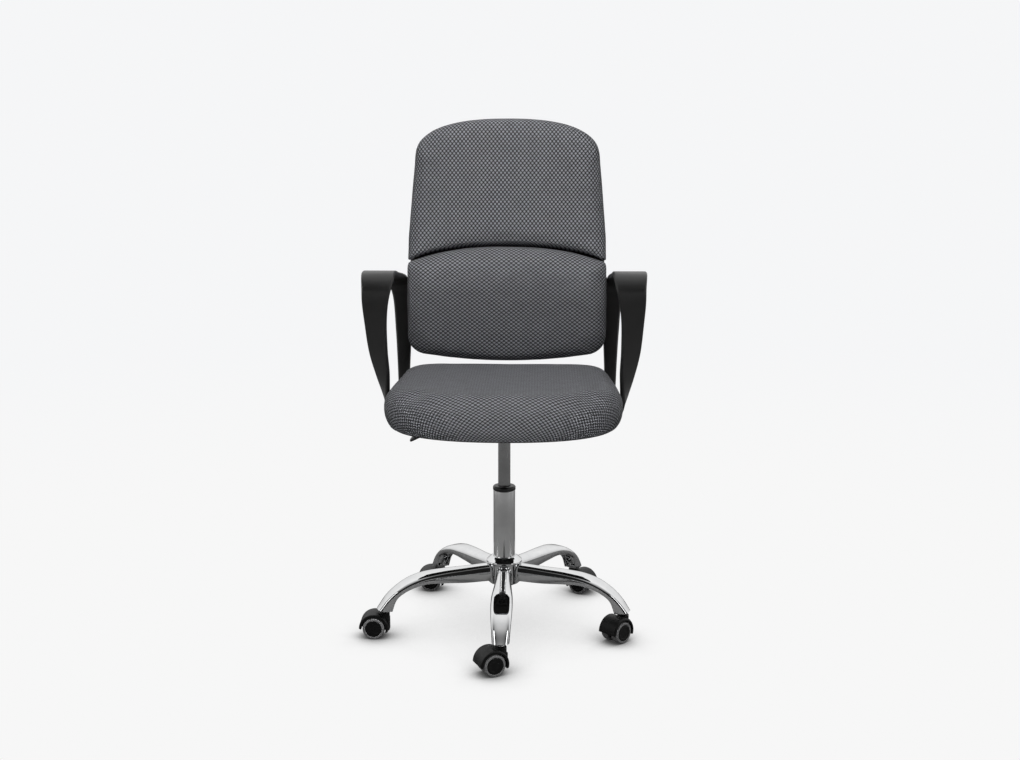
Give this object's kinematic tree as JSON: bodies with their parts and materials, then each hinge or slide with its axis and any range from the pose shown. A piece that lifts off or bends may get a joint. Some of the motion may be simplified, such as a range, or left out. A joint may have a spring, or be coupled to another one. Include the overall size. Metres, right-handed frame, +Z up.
{
  "type": "swivel office chair",
  "caption": "Height-adjustable swivel office chair: fabric seat, backrest with lumbar pad, loop arms, gas lift and a chromed star base on twin-wheel castors.",
  "frame": {"origin": "on the floor, on the axis of the column", "axes": "+Z up; the sitter faces -Y; +X is the sitter's left"},
  "size_m": [0.6406, 0.6531, 1.1531],
  "materials": {
    "chrome": "polished chrome plate",
    "satin_steel": "satin chrome plate",
    "dark_steel": "ground and hardened steel",
    "black_painted_steel": "black powder coat",
    "bolt_steel": "black zinc plate",
    "black_plastic": "fine-grained moulded plastic",
    "grey_tread": "soft polyurethane tread",
    "grey_fabric": "dark grey dotted knit over foam",
    "black_plywood": "plywood stained black underneath"
  },
  "bodies": {
    "base": {"hub": "chrome", "leg_1": "chrome", "leg_2": "chrome", "leg_3": "chrome", "leg_4": "chrome", "leg_5": "chrome", "castor_stem_1": "satin_steel", "castor_stem_2": "satin_steel", "castor_stem_3": "satin_steel", "castor_stem_4": "satin_steel", "castor_stem_5": "satin_steel", "column_tube": "satin_steel", "guide_sleeve": "black_plastic"},
    "lift_core": {"thrust_bearing": "dark_steel", "piston_rod": "dark_steel"},
    "seat": {"pressure_tube": "dark_steel", "seat_plate": "black_painted_steel", "seat_board": "black_plywood", "seat_cushion": "grey_fabric", "back_board": "black_plywood", "back_cover": "black_plastic", "lumbar_pad": "grey_fabric", "upper_pad": "grey_fabric", "arm_left": "black_plastic", "arm_right": "black_plastic", "plate_bolt_1": "bolt_steel", "plate_bolt_2": "bolt_steel", "plate_bolt_3": "bolt_steel", "plate_bolt_4": "bolt_steel", "arm_seat_bolt_1": "bolt_steel", "arm_seat_bolt_2": "bolt_steel", "arm_seat_bolt_3": "bolt_steel", "arm_seat_bolt_4": "bolt_steel", "arm_back_bolt_1": "bolt_steel", "arm_back_bolt_2": "bolt_steel", "arm_back_bolt_3": "bolt_steel", "arm_back_bolt_4": "bolt_steel"},
    "height_lever": {"lever_rod": "black_painted_steel", "lever_handle": "black_plastic"},
    "valve_pin": {"release_pin": "satin_steel"},
    "castor_1": {"castor_hood_1": "black_plastic", "castor_axle_1": "satin_steel"},
    "castor_1_wheel_right": {"castor_wheel_1_right": "grey_tread"},
    "castor_1_wheel_left": {"castor_wheel_1_left": "grey_tread"},
    "castor_2": {"castor_hood_2": "black_plastic", "castor_axle_2": "satin_steel"},
    "castor_2_wheel_right": {"castor_wheel_2_right": "grey_tread"},
    "castor_2_wheel_left": {"castor_wheel_2_left": "grey_tread"},
    "castor_3": {"castor_hood_3": "black_plastic", "castor_axle_3": "satin_steel"},
    "castor_3_wheel_right": {"castor_wheel_3_right": "grey_tread"},
    "castor_3_wheel_left": {"castor_wheel_3_left": "grey_tread"},
    "castor_4": {"castor_hood_4": "black_plastic", "castor_axle_4": "satin_steel"},
    "castor_4_wheel_right": {"castor_wheel_4_right": "grey_tread"},
    "castor_4_wheel_left": {"castor_wheel_4_left": "grey_tread"},
    "castor_5": {"castor_hood_5": "black_plastic", "castor_axle_5": "satin_steel"},
    "castor_5_wheel_right": {"castor_wheel_5_right": "grey_tread"},
    "castor_5_wheel_left": {"castor_wheel_5_left": "grey_tread"}
  },
  "joints": [
    {"name": "seat_swivel", "type": "hinge", "parent": "base", "child": "lift_core", "pos_m": [0, 0, 0.11], "axis": [0, 0, 1], "continuous": true},
    {"name": "gas_lift", "type": "slide", "parent": "lift_core", "child": "seat", "axis": [0, 0, 1], "range_m": [-0.1, 0]},
    {"name": "lever_pull", "type": "hinge", "parent": "seat", "child": "height_lever", "pos_m": [-0.033, 0, 0.466], "axis": [0, 1, 0], "range_deg": [0, 7], "stiffness_Nm_per_rad": 1.5, "springref_deg": -11.46},
    {"name": "valve_press", "type": "slide", "parent": "seat", "child": "valve_pin", "axis": [0, 0, -1], "range_m": [0, 0.0041]},
    {"name": "castor_1_swivel", "type": "hinge", "parent": "base", "child": "castor_1", "pos_m": [0, -0.284, 0.045], "axis": [0, 0, 1], "continuous": true},
    {"name": "castor_1_right_spin", "type": "hinge", "parent": "castor_1", "child": "castor_1_wheel_right", "pos_m": [-0.01994, -0.2933, 0.025], "axis": [0.4226, -0.9063, 0], "continuous": true},
    {"name": "castor_1_left_spin", "type": "hinge", "parent": "castor_1", "child": "castor_1_wheel_left", "pos_m": [-0.01994, -0.2933, 0.025], "axis": [0.4226, -0.9063, 0], "continuous": true},
    {"name": "castor_2_swivel", "type": "hinge", "parent": "base", "child": "castor_2", "pos_m": [0.2701, -0.08776, 0.045], "axis": [0, 0, 1], "continuous": true},
    {"name": "castor_2_right_spin", "type": "hinge", "parent": "castor_2", "child": "castor_2_wheel_right", "pos_m": [0.25454, -0.10332, 0.025], "axis": [0.7071, -0.7071, 0], "continuous": true},
    {"name": "castor_2_left_spin", "type": "hinge", "parent": "castor_2", "child": "castor_2_wheel_left", "pos_m": [0.25454, -0.10332, 0.025], "axis": [0.7071, -0.7071, 0], "continuous": true},
    {"name": "castor_3_swivel", "type": "hinge", "parent": "base", "child": "castor_3", "pos_m": [0.16693, 0.22976, 0.045], "axis": [0, 0, 1], "continuous": true},
    {"name": "castor_3_right_spin", "type": "hinge", "parent": "castor_3", "child": "castor_3_wheel_right", "pos_m": [0.18598, 0.21876, 0.025], "axis": [0.5, 0.866, 0], "continuous": true},
    {"name": "castor_3_left_spin", "type": "hinge", "parent": "castor_3", "child": "castor_3_wheel_left", "pos_m": [0.18598, 0.21876, 0.025], "axis": [0.5, 0.866, 0], "continuous": true},
    {"name": "castor_4_swivel", "type": "hinge", "parent": "base", "child": "castor_4", "pos_m": [-0.16693, 0.22976, 0.045], "axis": [0, 0, 1], "continuous": true},
    {"name": "castor_4_right_spin", "type": "hinge", "parent": "castor_4", "child": "castor_4_wheel_right", "pos_m": [-0.18893, 0.22976, 0.025], "axis": [0, -1, 0], "continuous": true},
    {"name": "castor_4_left_spin", "type": "hinge", "parent": "castor_4", "child": "castor_4_wheel_left", "pos_m": [-0.18893, 0.22976, 0.025], "axis": [0, -1, 0], "continuous": true},
    {"name": "castor_5_swivel", "type": "hinge", "parent": "base", "child": "castor_5", "pos_m": [-0.2701, -0.08776, 0.045], "axis": [0, 0, 1], "continuous": true},
    {"name": "castor_5_right_spin", "type": "hinge", "parent": "castor_5", "child": "castor_5_wheel_right", "pos_m": [-0.2921, -0.08776, 0.025], "axis": [0, -1, 0], "continuous": true},
    {"name": "castor_5_left_spin", "type": "hinge", "parent": "castor_5", "child": "castor_5_wheel_left", "pos_m": [-0.2921, -0.08776, 0.025], "axis": [0, -1, 0], "continuous": true}
  ],
  "couplings": [
    {"joint": "valve_press", "follows": "lever_pull", "m_per_rad": 0.033}
  ]
}
